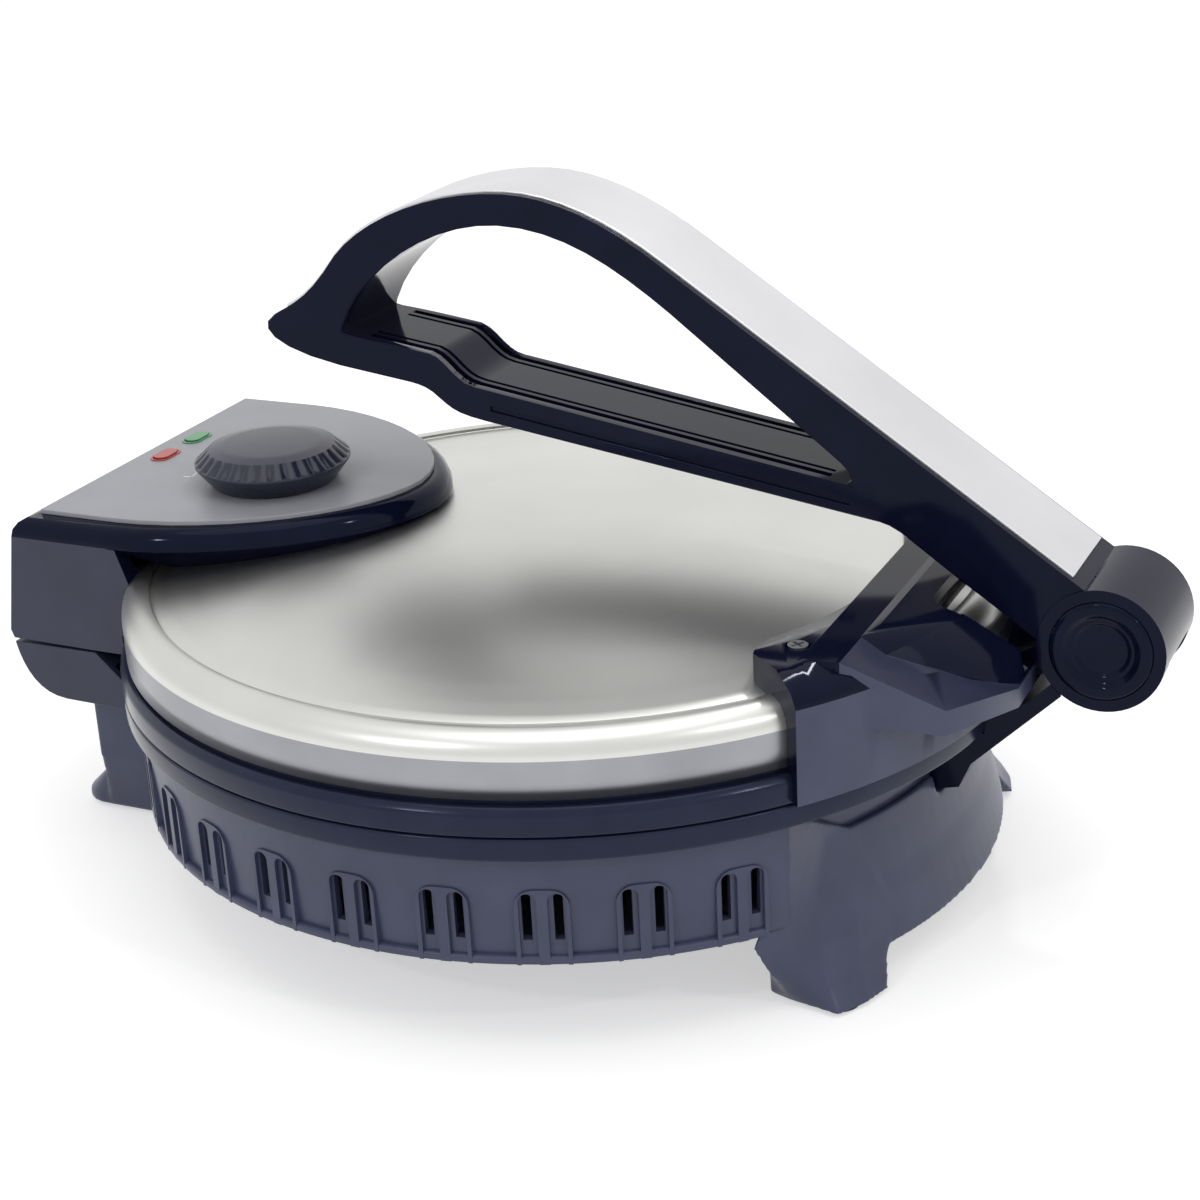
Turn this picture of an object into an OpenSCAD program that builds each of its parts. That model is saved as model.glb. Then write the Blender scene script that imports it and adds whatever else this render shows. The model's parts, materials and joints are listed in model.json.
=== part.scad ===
// Electric roti maker with a hinged lid, a press handle and a thermostat knob.
// Millimetres. +Z is up, -Y is the side the cook stands at, and the hinge is at +Y.
// The origin is on the table, under the middle of the whole outline.
// Heights in this file count from a plane that lies foot_drop above the table.

/* [Pan and lid] */
// Outer radius of the steel lid band
band_r = 136; // [134:0.5:138]
// Radius of the cast cooking plates
plate_r = 127; // [124:0.5:128]
// Height of the dome above the rolled edge of the lid
dome_rise = 10; // [8:0.5:11]
// Wall thickness of the steel cover
steel_t = 1.2; // [0.8:0.1:1.4]

/* [Base] */
// Height of the datum plane above the table
foot_drop = 4; // [3:0.5:5]
// Height of the lower edge of the vented wall
wall_z = 24; // [22:0.5:26]
// Angle from one vent to the next
vent_step = 11.6; // [11:0.1:12.5]
// Wall thickness of the mouldings
wall_t = 2.5; // [2:0.1:3]

/* [Control housing] */
// Height of the control panel
panel_z = 108.7; // [107:0.1:110]
// Half width of the control panel
panel_hw = 59.5; // [57:0.5:61]
// Half width of the housing under its shoulders
box_hw = 65; // [64:0.5:67]
// Distance of the knob from the middle line
knob_x = 13; // [8:0.5:16]
// Radius of the knob
knob_r = 24.6; // [22:0.1:25]
// Number of grip flutes on the knob
knob_flutes = 30; // [20:1:36]

/* [Handle] */
// Distance of the hinge axis behind the middle of the plates
hinge_dy = 170; // [169:0.5:172]
// Height of the hinge axis
hinge_z = 87; // [86:0.5:88]
// Outer radius of the hinge barrel
hub_r = 18; // [17.5:0.1:18]
// Half length of the hinge barrel
hub_hl = 18; // [17.8:0.1:19]
// Half width of the handle arm
arm_hw = 17.5; // [17:0.1:17.7]
// Radius of the hinge pin
pin_r = 4; // [3.5:0.1:4.5]

/* [Hidden] */
$fn = 96;
fit = 0.05;        // radial clearance of a running fit
gap = 0.4;         // clearance between mouldings that move apart

front_dy = -167;   // foremost point, measured from the middle of the plates
pan_y = -(hinge_dy + hub_r + front_dy) / 2;
hinge_y = pan_y + hinge_dy;

rim_z = 57;                      // underside of the base rim
rim_r = band_r + 2.3;            // the rim and the lid ring stand proud of the band
split_z = 63.6;                  // parting line between base and lid
ring_z = split_z + gap;
ring_top = 72.3;
band_z = 74;                     // lower edge of the steel band
edge_r = 7;                      // rolled edge of the steel cover
edge_z = 84.9;                   // centre of the rolled edge
dome_r = band_r - edge_r - 2.5;  // where the dome meets the rolled edge
dome_z = edge_z + edge_r - 1.3;
wall_top_r = 134.5;
wall_low_r = 132.5;
back_a = 50;                     // the vented wall stops at this angle from +X
back_r = 122;                    // recessed wall behind the rear stand
skirt_top_z = 42;

// Places what is drawn round the middle of the plates
module at_pan() translate([0, pan_y, foot_drop]) children();

// Places what is drawn round the hinge axis, with the local Z along +X
module at_hinge() translate([0, hinge_y, hinge_z + foot_drop]) rotate([90, 0, 90]) children();

module mirror_x() {
  children();
  mirror([1, 0, 0]) children();
}

// A closed ring of rectangular section
module ring(r_out, r_in, z0, z1) {
  translate([0, 0, z0]) rotate_extrude()
    translate([r_in, 0]) square([r_out - r_in, z1 - z0]);
}

// Extrudes a side view, given in Y and Z, along X from x0 to x1
module side_slab(x0, x1) {
  translate([x0, 0, 0]) rotate([90, 0, 90]) linear_extrude(x1 - x0) children();
}

// Extrudes a front view, given in X and Z, along Y from y0 to y1
module front_slab(y0, y1) {
  translate([0, y1, 0]) rotate([90, 0, 0]) linear_extrude(y1 - y0) children();
}

function polar(r, a) = [r * cos(a), r * sin(a)];

// Points of a cubic curve; the last one is left to the next piece of the outline
function bez(p0, p1, p2, p3, n = 8) = [
  for (i = [0 : n - 1])
    let (t = i / n, u = 1 - t)
      u * u * u * p0 + 3 * u * u * t * p1 + 3 * u * t * t * p2 + t * t * t * p3
];

function unit(v) = v / norm(v);

// Moves an open line of points sideways by d, to the left of its direction
function shift(pts, d) = [
  for (i = [0 : len(pts) - 1])
    let (
      a = pts[max(i - 1, 0)],
      b = pts[min(i + 1, len(pts) - 1)],
      t = unit(b - a)
    ) pts[i] + d * [-t[1], t[0]]
];

function reversed(pts) = [for (i = [len(pts) - 1 : -1 : 0]) pts[i]];

// Base

// One vent: an arched pad with a channel on each side of its middle rib, and a slot in each channel
vent_w = 15;
vent_h = 22.5;
vent_proud = 1.8;
channel_w = 4.8;
channel_x = 3.9;
channel_deep = 1.3;
slot_w = 2.6;
slot_low = 7;

module arch(w, h, r) {
  square([w, h - r]);
  translate([r, h - r]) circle(r, $fn = 24);
  translate([w - r, h - r]) circle(r, $fn = 24);
  translate([r, h - r]) square([max(w - 2 * r, 0.01), r]);
}

// Turns a drawing in width and height to face outwards at angle a, from radius r0 to r1
module on_wall(a, r0, r1) {
  rotate([0, 0, a]) translate([r0, 0, wall_z]) rotate([90, 0, 90]) linear_extrude(r1 - r0) children();
}

module vent_pad(a) {
  on_wall(a, wall_low_r - 0.4, wall_low_r + vent_proud) translate([-vent_w / 2, 0])
    arch(vent_w, vent_h, 5);
}

module vent_cut(a) {
  for (s = [-1, 1]) {
    on_wall(a, wall_low_r + vent_proud - channel_deep, wall_low_r + 6)
      translate([s * channel_x - channel_w / 2, -1]) arch(channel_w, vent_h, 2.2);
    on_wall(a, wall_low_r - 6, wall_low_r + 6)
      translate([s * (channel_x + 0.4) - slot_w / 2, slot_low])
        arch(slot_w, vent_h - slot_low - 1.6, 1.2);
  }
}

vent_first = 9.6 - 5 * vent_step;
vent_angles = [for (i = [0 : 8]) vent_first + i * vent_step];

// angle that a return takes up at the back wall
return_a = wall_t * 57.3 / 126;

module base_shell() {
  color("#3f4358") at_pan() difference() {
    union() {
      // outer wall with a light draft, left out behind the rear stand
      difference() {
        rotate_extrude() polygon([
          [wall_low_r - wall_t, wall_z], [wall_low_r, wall_z],
          [wall_top_r, rim_z], [wall_top_r - wall_t, rim_z]
        ]);
        translate([0, 0, wall_z - 1]) linear_extrude(40)
          polygon([[0, 0], polar(240, back_a), [0, 330], polar(240, 180 - back_a)]);
      }
      // recessed back wall and the two returns that join it to the outer wall
      rotate([0, 0, back_a]) rotate_extrude(angle = 180 - 2 * back_a)
        translate([back_r - wall_t, wall_z]) square([wall_t, rim_z - wall_z]);
      for (a = [back_a, 180 - back_a])
        rotate([0, 0, a - return_a / 2]) rotate_extrude(angle = return_a) polygon([
          [back_r - wall_t, wall_z], [wall_low_r - 0.3, wall_z],
          [wall_top_r - 0.3, rim_z], [back_r - wall_t, rim_z]
        ]);
      // inner flange that carries the bottom cover
      ring(back_r - 0.5, 112, wall_z + 2, wall_z + 4.5);
      difference() {
        ring(wall_low_r - 1, back_r - 1, wall_z + 2, wall_z + 4.5);
        translate([0, 0, wall_z - 1]) linear_extrude(40)
          polygon([[0, 0], polar(240, back_a), [0, 330], polar(240, 180 - back_a)]);
      }
      for (a = vent_angles) {
        vent_pad(a);
        vent_pad(180 - a);
      }
    }
    for (a = vent_angles) {
      vent_cut(a);
      vent_cut(180 - a);
    }
  }
}

module base_rim() {
  color("#1a1c2c") at_pan() rotate_extrude() polygon([
    [plate_r - 7, rim_z], [rim_r - 0.8, rim_z], [rim_r, rim_z + 0.8],
    [rim_r, split_z - 0.6], [rim_r - 0.6, split_z], [plate_r + 0.3, split_z],
    [plate_r + 0.3, rim_z + 2], [plate_r - 7, rim_z + 2]
  ]);
}

cover_screws = [45, 135, 225, 315];

module bottom_cover() {
  color("#2a2c3c") at_pan() difference() {
    translate([0, 0, wall_z - 0.4]) cylinder(h = 2.4, r = back_r - wall_t - 0.3);
    // louvres
    for (a = [0 : 15 : 345])
      rotate([0, 0, a + 7.5]) translate([58, -1.5, wall_z - 2]) cube([34, 3, 6]);
  }
}

module lower_plate() {
  color("#26262a") at_pan() difference() {
    rotate_extrude() polygon([
      [0, 57.6], [plate_r - 9, 57.6], [plate_r - 8, rim_z + 2], [plate_r, rim_z + 2],
      [plate_r, 63], [plate_r - 1, 63.8], [plate_r - 4, 63.8], [plate_r - 6, 63.2], [0, 63.2]
    ]);
    // channel for the heating tube
    translate([0, 0, 57]) rotate_extrude() translate([86, 0]) circle(3.5, $fn = 24);
  }
}

module element_tube(z) {
  translate([0, 0, z]) {
    rotate([0, 0, 105]) rotate_extrude(angle = 330) translate([86, 0]) circle(3.3, $fn = 24);
  }
}

module lower_element() {
  color("#6b6258") at_pan() {
    element_tube(57);
    for (a = [75, 105])
      rotate([0, 0, a]) translate([86, 0, 38]) cylinder(h = 18.5, r = 3.2, $fn = 24);
  }
}

post_angles = [30, 150, 210, 330];
post_r = 104;

module lower_reflector() {
  color("#b8bbc0") at_pan() difference() {
    rotate_extrude() polygon([
      [0, 44], [94, 44], [99, 50], [112, 50], [112, 50.8], [98.6, 50.8], [93.6, 44.8], [0, 44.8]
    ]);
    for (a = [75, 105])
      rotate([0, 0, a]) translate([86, 0, 40]) cylinder(h = 8, r = 4.4, $fn = 24);
  }
}

module base_posts() {
  color("#9a9ca2") at_pan()
    for (a = post_angles)
      rotate([0, 0, a]) translate([post_r + 2, 0, 0]) {
        translate([0, 0, 50.8]) cylinder(h = 57.6 - 50.8, r = 4, $fn = 24);
        translate([0, 0, wall_z + 2]) cylinder(h = 50 - wall_z - 2, r = 4, $fn = 24);
      }
}

// Lower front housing under the control box: side view in Y and Z
house_top = 65.2;
house_front = -162;
house_low = 47.5;
gland_z = 56.4;
gland_bore = 3.6;
gland_seat = 5.2;

module house_side() {
  polygon(concat(
    [[-124, house_low - 0.5], [-124, 56.5], [-133.5, house_top], [house_front - 2, house_top]],
    bez([house_front - 2, house_top], [house_front, 55], [-157, house_low + 0.5], [-147, house_low]),
    [[-147, house_low]]
  ));
}

module front_housing() {
  color("#2a2c40") at_pan() difference() {
    side_slab(-box_hw, box_hw) house_side();
    // cavity for the wiring, open towards the base wall
    side_slab(-box_hw + wall_t, box_hw - wall_t) polygon([
      [-110, house_low + wall_t], [-110, 54], [-135, house_top - wall_t],
      [house_front + 2, house_top - wall_t], [-158, 56], [-148, house_low + wall_t]
    ]);
    translate([0, 0, 40]) cylinder(h = 17.3, r = wall_top_r + 0.1);
    translate([0, 0, rim_z - 0.1]) cylinder(h = 20, r = rim_r + 0.1);
    // seat of the cord gland
    translate([-box_hw - 1, -145, gland_z]) rotate([0, 90, 0]) cylinder(h = 8, r = gland_seat);
  }
}

module terminal_block() {
  color("#d8d4c8") at_pan() difference() {
    translate([-20, -147.5, house_low + wall_t]) cube([40, 8.5, 8]);
    for (i = [-1.5 : 1 : 1.5])
      translate([i * 9, -143.2, house_low + wall_t + 2]) cylinder(h = 10, r = 1.8, $fn = 24);
  }
}

module cord_gland() {
  color("#1c1c20") at_pan() translate([-box_hw - 2, -145, gland_z]) rotate([0, 90, 0])
    rotate_extrude() polygon([
      [gland_bore, 0], [7.4, 0], [8, 0.6], [8, 2], [gland_seat, 2], [gland_seat, 2.1 + wall_t],
      [6.1, 2.1 + wall_t], [6.1, 4 + wall_t], [gland_bore, 4 + wall_t]
    ]);
}

// Front leg: a flat pier under the housing, two feet that flare forward, an arch between them
pad_t = 1.2;
pad_r = 6;
sole_z = pad_t - foot_drop;
leg_hw = 45;
leg_in = 22;
toe_x = 31.5;

module front_stand() {
  color("#23253a") at_pan() difference() {
    union() {
      intersection() {
        side_slab(-leg_hw, leg_hw) polygon([
          [-153.2, 54], [-153, 16], [-154.5, sole_z], [-137, sole_z], [-132, 28], [-131, 54]
        ]);
        front_slab(-160, -125) polygon([
          [leg_hw, 60], [leg_hw, 18], [toe_x + 9.5, sole_z],
          [-toe_x - 9.5, sole_z], [-leg_hw, 18], [-leg_hw, 60]
        ]);
      }
      // flared toes with round tips
      for (s = [-1, 1])
        translate([s * toe_x, 0, sole_z]) hull() {
          translate([0, -157.5, 0]) cylinder(h = 3, r = 9.5, $fn = 32);
          translate([-9.5, -154, 0]) cube([19, 10, 3]);
          translate([-8.5, -153, 0]) cube([17, 6, 15]);
        }
    }
    side_slab(-box_hw, box_hw) house_side();
    // arch between the feet
    side_slab(-leg_in, leg_in) translate([-180, sole_z - 1]) square([60, 15 - sole_z]);
    front_slab(-180, -100) translate([0, 14]) scale([1, 0.6]) circle(leg_in, $fn = 12);
    translate([0, 0, wall_z - 3]) cylinder(h = 60, r = wall_top_r + 0.1);
  }
}

// Rear stand: a flared skirt behind the pan with two splayed feet
skirt_t = 2.6;
skirt_a0 = 54;

module skirt_profile() {
  polygon([
    [124, skirt_top_z], [128, 25], [130.2, 19], [134, 6],
    [134 - skirt_t, 6], [130.2 - skirt_t, 18.4], [128 - skirt_t, 24.4], [122.2, skirt_top_z]
  ]);
}

// Sections of a rear foot from the sole up: height, the edge of the flank by the vented wall as
// radius and angle, then the outer face from the ridge to where it runs into the skirt
foot_cuts = [
  [sole_z, [128.4, 51.8], [142.1, 54.4], [141.9, 58.5], [139.8, 62.8]],
  [3, [129.6, 50.3], [137.6, 54.6], [137.4, 59.5], [135.8, 64.3]],
  [9, [131.2, 48.3], [134.3, 54.8], [134.2, 60], [133.2, 66]],
  [20, [133.2, 45.6], [130.3, 55], [130.1, 61], [130, 67]],
  [30, [133.2, 47.6], [127, 56.4], [126.9, 60.5], [126.9, 65]],
  [skirt_top_z, [133.8, 49], [124.3, 58.6], [124.15, 61], [124.15, 63]],
  [54, [134, 49.6], [130, 52], [127, 53.4], [123, 53]]
];
foot_steps = concat(
  [for (i = [0 : len(foot_cuts) - 2]) for (t = [0, 0.6])
    foot_cuts[i] + (foot_cuts[i + 1] - foot_cuts[i]) * t],
  [foot_cuts[len(foot_cuts) - 1]]
);
foot_rings = [
  for (cut = foot_steps)
    let (flank = polar(cut[1][0], cut[1][1]), ridge = polar(cut[2][0], cut[2][1]))
      concat(
        [for (t = [0 : 0.25 : 1]) concat(flank + (ridge - flank) * t, cut[0])],
        [for (q = [cut[3], cut[4], [121, cut[4][1] - 1], [121, 50.5]])
          concat(polar(q[0], q[1]), cut[0])]
      )
];

// Joins rings of equally many points, listed from the lowest up, into one solid
module loft(rings) {
  n = len(rings[0]);
  top = (len(rings) - 1) * n;
  polyhedron(
    points = [for (r = rings) for (p = r) p],
    faces = concat(
      [[for (j = [0 : n - 1]) j], [for (j = [n - 1 : -1 : 0]) top + j]],
      [for (i = [0 : len(rings) - 2]) for (j = [0 : n - 1])
        [i * n + j, (i + 1) * n + j, (i + 1) * n + (j + 1) % n]],
      [for (i = [0 : len(rings) - 2]) for (j = [0 : n - 1])
        [i * n + j, (i + 1) * n + (j + 1) % n, i * n + (j + 1) % n]]
    ));
}

module rear_foot() loft(foot_rings);

// Room for the vented wall, d outside it, up to the angle a on each side
module wall_room(d, a) {
  difference() {
    translate([0, 0, wall_z - 0.2]) rotate_extrude() polygon([
      [0, 0], [wall_low_r + d, 0], [wall_top_r + d, 33.2], [wall_top_r + d, 60], [0, 60]
    ]);
    translate([0, 0, wall_z - 1]) linear_extrude(80)
      polygon([[0, 0], polar(240, a), [0, 330], polar(240, 180 - a)]);
  }
}

module rear_stand() {
  color("#2a2c42") at_pan() difference() {
    union() {
      difference() {
        rotate([0, 0, skirt_a0]) rotate_extrude(angle = 180 - 2 * skirt_a0) skirt_profile();
        // seat of the hinge arm
        translate([-arm_hw - 0.3, 100, 36]) cube([2 * arm_hw + 0.6, 60, 40]);
      }
      mirror_x() rear_foot();
    }
    // clear of the vented wall and of the recessed wall
    translate([0, 0, wall_z - 0.2]) cylinder(h = 60, r = back_r + 0.1);
    wall_room(2, back_a - 1.8);
    wall_room(0.1, back_a + 0.8);
    // hollow behind the feet
    translate([0, 0, 3]) cylinder(h = wall_z - 3.2, r = 117);
  }
}

pad_spots = [[73, 112.5], [-73, 112.5], [toe_x, -157], [-toe_x, -157]];

module foot_pads() {
  color("#18181a") at_pan()
    for (p = pad_spots)
      translate([p[0], p[1], -foot_drop]) cylinder(h = pad_t, r = pad_r, $fn = 32);
}

// Hinge arm of the base: side view in Y and Z, measured from the middle of the plates
module hinge_arm() {
  axis = [hinge_dy, hinge_z];
  color("#1e2034") at_pan() difference() {
    union() {
      side_slab(-arm_hw + 0.2, arm_hw - 0.2) polygon([
        [122, 56.8], [122, 37], [130, 38.8], [133.5, 46.7], [159, 71.5], [159, 78],
        [150, 68.6], [140, split_z - 0.2], [136, split_z - 0.2]
      ]);
      side_slab(-5.9, 5.9) {
        translate(axis) circle(11.8);
        polygon([[148, 62], [159.5, 71.5], [166, 76], [166, 80], [160, 81], [157, 76], [150, 68.6]]);
      }
    }
    // saddle under the hinge barrel
    for (s = [-1, 1])
      translate([s * (5.9 + 10) - 10, hinge_dy, hinge_z]) rotate([0, 90, 0])
        cylinder(h = 20, r = hub_r + 0.5);
    translate([-30, hinge_dy, hinge_z]) rotate([0, 90, 0]) cylinder(h = 60, r = pin_r);
    // against the rim and the recessed wall
    translate([0, 0, rim_z - 0.1]) cylinder(h = 20, r = rim_r + 0.1);
    translate([0, 0, 30]) cylinder(h = 40, r = back_r + 0.1);
  }
}

module hinge_pin() {
  color("#b0b3b8") at_hinge() translate([0, 0, -hub_hl + 3.2])
    cylinder(h = 2 * hub_hl - 6.4, r = pin_r);
}

// Lid

// Outer outline of the steel cover from the band to the middle, as radius and height
dome_sphere = (dome_r * dome_r + dome_rise * dome_rise) / (2 * dome_rise);
function dome_at(r) = dome_z + dome_rise - dome_sphere + sqrt(dome_sphere * dome_sphere - r * r);
function cover_line(d) = concat(
  [[band_r - d, band_z]],
  [for (a = [0 : 10 : 100]) [band_r - edge_r + (edge_r - d) * cos(a), edge_z + (edge_r - d) * sin(a)]],
  [for (i = [0 : 12]) let (r = (dome_r) * (1 - i / 12)) [r, dome_at(r) - d]]
);

module cover_solid(d) {
  rotate_extrude() polygon(concat(cover_line(d), [[0, band_z]]));
}

module lid_cover() {
  color("#c8c8c8") at_pan() difference() {
    rotate_extrude() polygon(concat(cover_line(0), reversed(cover_line(steel_t))));
    // cut-out under the control housing for the thermostat
    translate([knob_x, -95, 80]) cylinder(h = 30, r = 17);
  }
}

module lid_ring() {
  color("#16182a") at_pan() rotate_extrude() polygon([
    [plate_r + 0.3, ring_z], [rim_r - 0.6, ring_z], [rim_r, ring_z + 0.6],
    [rim_r, ring_top - 2], [rim_r - 1.4, ring_top], [band_r - steel_t - 0.2, ring_top],
    [band_r - steel_t - 0.2, ring_top + 9], [band_r - steel_t - 2.4, ring_top + 9],
    [band_r - steel_t - 2.4, ring_top], [plate_r - 6, ring_top], [plate_r - 6, ring_top - 2],
    [plate_r + 0.3, ring_top - 2]
  ]);
}

module upper_plate() {
  color("#26262a") at_pan() difference() {
    rotate_extrude() polygon([
      [0, 64.6], [plate_r - 1, 64.6], [plate_r, 65.6], [plate_r, ring_top - 2],
      [plate_r - 8, ring_top - 2], [plate_r - 9, 71.4], [0, 71.4]
    ]);
    translate([0, 0, 72]) rotate_extrude() translate([86, 0]) circle(3.5, $fn = 24);
  }
}

module upper_element() {
  color("#6b6258") at_pan() {
    element_tube(72);
    for (a = [75, 105])
      rotate([0, 0, a]) translate([86, 0, 73]) cylinder(h = 9, r = 3.2, $fn = 24);
  }
}

module lid_insulation() {
  color("#d9d2bd") at_pan() difference() {
    translate([0, 0, 76.4]) cylinder(h = 5, r = 112);
    for (a = [75, 105])
      rotate([0, 0, a]) translate([86, 0, 70]) cylinder(h = 20, r = 4.4, $fn = 24);
    translate([knob_x, -95, 70]) cylinder(h = 20, r = 16);
  }
}

module lid_posts() {
  color("#9a9ca2") at_pan()
    for (a = post_angles)
      rotate([0, 0, a]) translate([post_r, 0, 71.4]) cylinder(h = 5, r = 4, $fn = 24);
}

// Plan of the control panel, drawn in by d: square at the front, pointed arch towards the lid
panel_front = -152;
panel_back = -49;
arch_y = -124;

function panel_plan(d, front) = concat(
  [[panel_hw - d, front], [panel_hw - d, arch_y]],
  bez([panel_hw - d, arch_y], [panel_hw - d - 1, -88], [30 - d * 0.4, panel_back - d - 1],
      [0, panel_back - d], 12),
  bez([0, panel_back - d], [-30 + d * 0.4, panel_back - d - 1], [-panel_hw + d + 1, -88],
      [-panel_hw + d, arch_y], 12),
  [[-panel_hw + d, arch_y], [-panel_hw + d, front]]
);

panel_t = 1.5;

module housing_block() {
  // shoulders: the body swells out below the panel in a quarter round
  hull()
    for (a = [0 : 22.5 : 90]) {
      out = sin(a);
      translate([0, 0, panel_z - panel_t - 0.2 - (6.3 - 6.3 * cos(a))]) linear_extrude(0.2)
        polygon(panel_plan((panel_hw - box_hw) * out, panel_front - 7.4 * out));
    }
  // neck over the lid
  hull() {
    translate([0, 0, panel_z - 8]) linear_extrude(0.2) polygon(panel_plan(panel_hw - box_hw, -159.4));
    translate([0, 0, 88]) linear_extrude(0.2) polygon(panel_plan(11, -156));
  }
  // box in front of the band, its face leaning forward
  side_slab(-box_hw, box_hw) polygon([
    [-114, 80], [-118, 92], [-121, panel_z - 8], [-159.4, panel_z - 8],
    [-165, 69], [-164, 66.4], [-134, 66], [-114, 66]
  ]);
}

module control_housing() {
  color("#1c1e30") at_pan() difference() {
    housing_block();
    // hollow for the thermostat and the wiring
    translate([0, 0, 69]) linear_extrude(panel_z - panel_t - 2.5 - 69)
      polygon([[-box_hw + 5, -156], [-box_hw + 5, -120], [-24, -72], [24, -72], [box_hw - 5, -120],
               [box_hw - 5, -156]]);
    cover_solid(-0.1);
    translate([0, 0, 50]) cylinder(h = band_z - 50 + 3, r = band_r + 0.1);
    translate([0, 0, 50]) cylinder(h = ring_top - 50 + 0.1, r = rim_r + 0.1);
    translate([knob_x, -95, 90]) cylinder(h = 30, r = pin_r + 1);
    // lamp holes
    for (x = lens_x)
      translate([x, lens_y, 90]) cylinder(h = 30, r = 2.2, $fn = 24);
  }
}

lens_x = [3, -15.5];
lens_y = -143;
lens_hl = 2.2;
lens_r = 2.6;

module lens_plan(r) {
  for (s = [-1, 1]) translate([s * lens_hl, 0]) circle(r, $fn = 32);
  square([2 * lens_hl, 2 * r], center = true);
}

module control_panel() {
  color("#9a9ba0") at_pan() translate([0, 0, panel_z - panel_t]) difference() {
    linear_extrude(panel_t) polygon(panel_plan(0.6, panel_front + 0.6));
    translate([knob_x, -95, -1]) cylinder(h = 5, r = pin_r + 1);
    for (x = lens_x)
      translate([x, lens_y, -1]) linear_extrude(5) lens_plan(lens_r + 0.05);
  }
}

module lens(i) {
  at_pan() translate([lens_x[i], lens_y, panel_z - panel_t])
    linear_extrude(panel_t + 0.8) lens_plan(lens_r);
}

module red_lens() {
  color("#c0392b") lens(0);
}

module green_lens() {
  color("#2e8b57") lens(1);
}

module indicator_lamps() {
  color("#e8c890") at_pan()
    for (x = lens_x)
      translate([x, lens_y, panel_z - panel_t - 10]) cylinder(h = 9.8, r = 2, $fn = 24);
}

shaft_r = 3;

module thermostat() {
  color("#c9b68a") at_pan() difference() {
    translate([knob_x, -95, 0]) {
      translate([0, 0, 84]) cylinder(h = panel_z - panel_t - 2.5 - 84, r = 12);
      translate([-15, -5, panel_z - panel_t - 4.5]) cube([30, 10, 2]);
    }
    translate([knob_x, -95, 80]) cylinder(h = 40, r = shaft_r + fit);
  }
}

module knob_shaft() {
  color("#a8aab0") at_pan() translate([knob_x, -95, 86]) cylinder(h = 30, r = shaft_r);
}

knob_z = panel_z + 0.5;
knob_top = 121;

module thermostat_knob() {
  color("#20222e") at_pan() translate([knob_x, -95, 0]) difference() {
    rotate_extrude() polygon([
      [0, knob_z], [knob_r - 2.4, knob_z], [knob_r - 0.4, knob_z + 3.6], [knob_r, knob_z + 4.6],
      [knob_r - 0.4, knob_z + 5.4], [knob_r - 2.6, 118.2], [knob_r - 4.8, 120],
      [knob_r - 8, knob_top - 0.3], [0, knob_top]
    ]);
    for (i = [0 : knob_flutes - 1])
      rotate([0, 0, i * 360 / knob_flutes]) translate([knob_r - 0.2, 0, knob_z + 5])
        rotate([0, -22, 0]) cylinder(h = 8, r = 1.5, $fn = 16);
    translate([0, 0, knob_z - 1]) cylinder(h = 117 - knob_z, r = shaft_r);
  }
}

// Hinge bracket: a collar over the back of the lid, two sloping wings and two lugs on the pin
collar_a = 50;
collar_top = 100;

module bracket_wings() {
  intersection() {
    side_slab(-80, 80) polygon([
      [104, collar_top], [114.5, collar_top], [139.5, 84], [150.5, 78.4],
      [150.5, 72.6], [139.5, 76.6], [104, 84.4]
    ]);
    translate([0, 0, 60]) linear_extrude(60) polygon([
      [-75.5, 100], [75.5, 100], [75, 114.5], [62, 139.5],
      [30, 150.5], [-30, 150.5], [-62, 139.5], [-75, 114.5]
    ]);
  }
}

// Corners of the raised block on one side: top edge, then the foot line on the wing, then the underside
block_corners = [
  [57, 110, 98], [57, 114.5, collar_top], [48, 117, collar_top + 0.4],
  [34, 134.8, 98.6], [24.6, 148.4, 85.5],
  [57, 121.5, 95.6], [34, 146, 79.7], [28, 150.5, 77],
  [57, 110, 80], [57, 121.5, 80], [34, 145.5, 76], [28, 150.5, 74.5]
];

module bracket_block() {
  hull()
    mirror_x()
      for (p = block_corners)
        translate(p - [0.1, 0.1, 0]) cube(0.1);
}

// Open middle of the bracket, where the steel edge of the lid shows between the two side walls
trough_z = 79.5;

module bracket_trough() {
  translate([0, 0, trough_z]) linear_extrude(30) polygon([
    [27, 124], [31, 134], [21.5, 147], [21.5, 160], [-21.5, 160], [-21.5, 147], [-31, 134], [-27, 124]
  ]);
}

module bracket_lug() {
  side_slab(6.2, 11.8) {
    translate([hinge_dy, hinge_z]) circle(11.8);
    polygon([[143, 75.5], [150, 74.8], [164, 77], [162, 87.5], [152, 84.5], [143, trough_z + 0.2]]);
  }
}

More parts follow.
